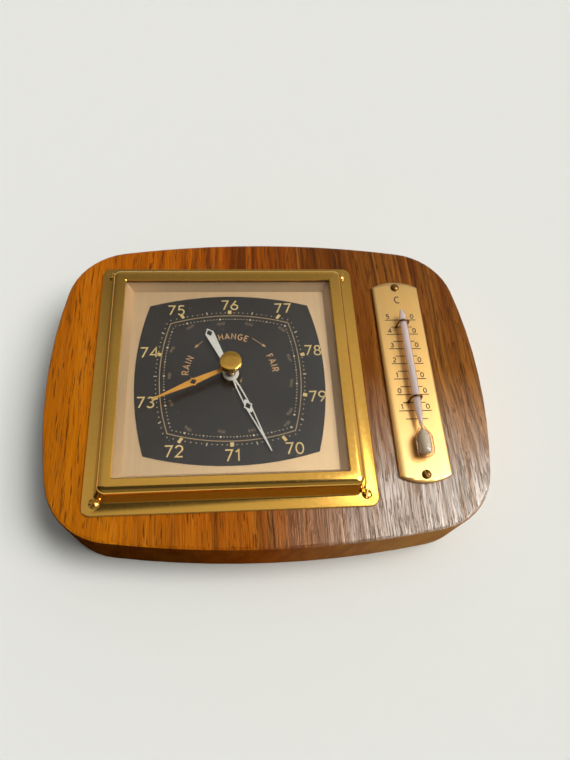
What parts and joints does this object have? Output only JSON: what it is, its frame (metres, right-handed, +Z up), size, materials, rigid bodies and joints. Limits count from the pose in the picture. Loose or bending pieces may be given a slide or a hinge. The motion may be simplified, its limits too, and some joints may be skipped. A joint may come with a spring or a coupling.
{
  "type": "wall barometer",
  "caption": "Square brass aneroid barometer with a set hand on its glass and a slim brass thermometer beside it, both screwed to a rounded teak board that hangs on a nail.",
  "frame": {"origin": "the axis of the wall nail, at the wall, where the upper end of the hanger plate's keyhole rests on it", "axes": "+Z up, -Y the way the dial faces out of the wall, +X to the right seen from the front; the wall is Y = 0"},
  "size_m": [0.169, 0.0396, 0.1312],
  "materials": {
    "teak": "oiled teak, satin, upright grain with dark streaks",
    "polished_brass": "polished and lacquered",
    "plate_brass": "satin lacquer",
    "dark_bronze": "darkened",
    "champagne_metal": "upright brushed, champagne",
    "dial_black": "matt black",
    "hand_white": "satin",
    "hand_gold": "satin gold",
    "clear_glass": "clear",
    "fluid_grey": "grey liquid",
    "movement_brass": "satin",
    "movement_steel": "plain steel",
    "nickel_silver": "nickel plated sheet"
  },
  "bodies": {
    "case": {"case_board": "teak", "hanger_plate": "movement_steel", "hanger_screw_1": "movement_steel", "hanger_screw_2": "movement_steel", "bezel": "polished_brass", "bezel_screw_1": "polished_brass", "bezel_screw_2": "polished_brass", "bezel_screw_3": "polished_brass", "bezel_screw_4": "polished_brass", "glass": "clear_glass", "glass_bush": "polished_brass", "dial_tray": "champagne_metal", "dial_sheet": "dial_black", "thermometer_plate": "plate_brass", "thermometer_tube": "clear_glass", "thermometer_fluid": "fluid_grey", "tube_seal": "clear_glass", "tube_clip_1": "dark_bronze", "tube_clip_2": "dark_bronze", "thermometer_screw_1": "dark_bronze", "thermometer_screw_2": "dark_bronze", "movement_base": "nickel_silver", "base_screw_1": "movement_steel", "base_screw_2": "movement_steel", "base_screw_3": "movement_steel", "capsule_seat": "movement_brass", "capsule_rear_skin": "nickel_silver", "bracket_left": "movement_steel", "bracket_right": "movement_steel", "hairspring": "movement_steel", "hairspring_stud": "movement_brass", "rear_bridge": "movement_brass", "front_bridge": "movement_brass", "pillar_1": "movement_brass", "pillar_2": "movement_brass", "bridge_screw_1": "movement_steel", "bridge_screw_2": "movement_steel", "bridge_screw_3": "movement_steel", "bridge_screw_4": "movement_steel", "spacer_1": "movement_brass", "spacer_2": "movement_brass"},
    "set_pointer": {"set_hand": "hand_gold", "set_knob": "polished_brass", "set_spindle": "polished_brass", "spindle_washer": "movement_steel"},
    "sector": {"sector_gear": "movement_brass", "sector_arbor": "movement_steel", "sector_pin": "movement_steel"},
    "indicator": {"pinion_arbor": "movement_steel", "indicator_collet": "polished_brass", "indicator_hand": "hand_white"},
    "rocker": {"rocking_shaft": "movement_steel", "lifting_arm": "nickel_silver", "transfer_arm": "nickel_silver"},
    "capsule_top": {"capsule_front_skin": "nickel_silver", "capsule_stud": "movement_brass"},
    "adjuster": {"adjusting_screw": "movement_brass"}
  },
  "joints": [
    {"name": "set_hand_turn", "type": "hinge", "parent": "case", "child": "set_pointer", "pos_m": [-0.0152, -0.0356, -0.055], "axis": [0, 1, 0], "continuous": true},
    {"name": "sector_swing", "type": "hinge", "parent": "case", "child": "sector", "pos_m": [-0.0372, -0.0209, -0.055], "axis": [0, 1, 0], "range_deg": [-31.21, 1.18], "stiffness_Nm_per_rad": 0.015},
    {"name": "indicator_turn", "type": "hinge", "parent": "case", "child": "indicator", "pos_m": [-0.0152, -0.0209, -0.055], "axis": [0, 1, 0], "range_deg": [-11.9, 312.2]},
    {"name": "rocker_swing", "type": "hinge", "parent": "case", "child": "rocker", "pos_m": [-0.0152, -0.0133, -0.0566], "axis": [1, 0, 0], "range_deg": [-15.62, 0.6]},
    {"name": "capsule_stroke", "type": "slide", "parent": "case", "child": "capsule_top", "axis": [0, -1, 0], "range_m": [-0.0004357, 0.0000164], "stiffness_N_per_m": 20000},
    {"name": "adjusting_screw_turn", "type": "hinge", "parent": "case", "child": "adjuster", "pos_m": [-0.0152, -0.0012, -0.055], "axis": [0, 1, 0], "range_deg": [-270, 270]}
  ],
  "couplings": [
    {"joint": "rocker_swing", "follows": "capsule_stroke", "rad_per_m": 625},
    {"joint": "sector_swing", "follows": "capsule_stroke", "rad_per_m": 1250},
    {"joint": "indicator_turn", "follows": "capsule_stroke", "rad_per_m": -12500}
  ]
}
